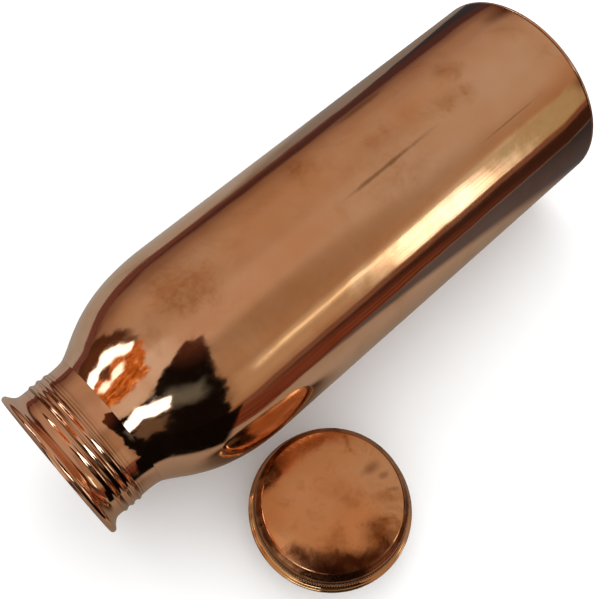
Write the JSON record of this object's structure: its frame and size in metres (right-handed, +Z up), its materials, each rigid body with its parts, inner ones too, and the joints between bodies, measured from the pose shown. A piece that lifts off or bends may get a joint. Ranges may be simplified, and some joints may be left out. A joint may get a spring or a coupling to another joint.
{
  "type": "copper water bottle",
  "caption": "Round copper water bottle lying on its side, with a threaded neck, a flared lip, and a screw-in plug cap with a knurled band standing beside it.",
  "frame": {"origin": "centre of the bottom of the object's box, on the surface that the bottle and the cap lie on", "axes": "+Z up, +X along the bottle's axis from the mouth to the base, -Y from the bottle towards the cap"},
  "size_m": [0.2084, 0.1254, 0.0728],
  "materials": {
    "polished_copper": "mirror polished",
    "collar_copper": "polished",
    "base_copper": "polished",
    "crown_copper": "polished, with tarnish",
    "grip_copper": "polished, knurled",
    "plug_copper": "satin",
    "clear_silicone": "milky silicone"
  },
  "bodies": {
    "bottle": {"bottle_body": "polished_copper", "neck_collar": "collar_copper", "base_plate": "base_copper"},
    "cap_seal": {"cap_gasket": "clear_silicone"},
    "cap": {"cap_plug": "plug_copper", "cap_grip_ring": "grip_copper", "cap_crown": "crown_copper"}
  },
  "joints": [
    {"name": "cap_lift", "type": "slide", "parent": "bottle", "child": "cap_seal", "axis": [0, -0.1961, 0.9806], "range_m": [0, 0.1]},
    {"name": "cap_turn", "type": "hinge", "parent": "cap_seal", "child": "cap", "pos_m": [-0.04745, -0.03621, 0], "axis": [0, 0, 1], "continuous": true}
  ]
}
